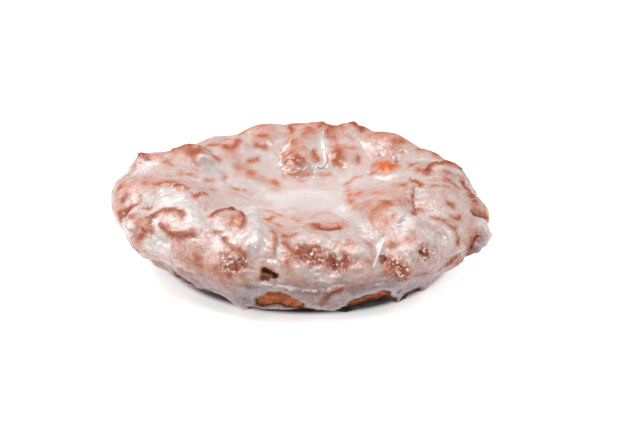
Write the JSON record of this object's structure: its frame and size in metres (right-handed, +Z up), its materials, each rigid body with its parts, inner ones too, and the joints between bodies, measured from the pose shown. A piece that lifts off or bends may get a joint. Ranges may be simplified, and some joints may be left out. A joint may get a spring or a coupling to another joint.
{
  "type": "apple fritter",
  "caption": "Oval glazed apple fritter with a fat lumpy rim, a dished middle where the sugar glaze pools and a flat fried underside.",
  "frame": {"origin": "middle of the flat underside's level, under the middle of the fritter's box", "axes": "+Z up, +X along the longest way, -Y towards the front, where the glaze hangs lowest"},
  "size_m": [0.1202, 0.1034, 0.0331],
  "materials": {
    "glazed_dough": "fried yeast dough and apple, browned, seen through and beside the glaze",
    "sugar_glaze": "set sugar glaze, glossy, white where it is thick"
  },
  "bodies": {
    "root": {"fritter": "glazed_dough"}
  },
  "joints": []
}
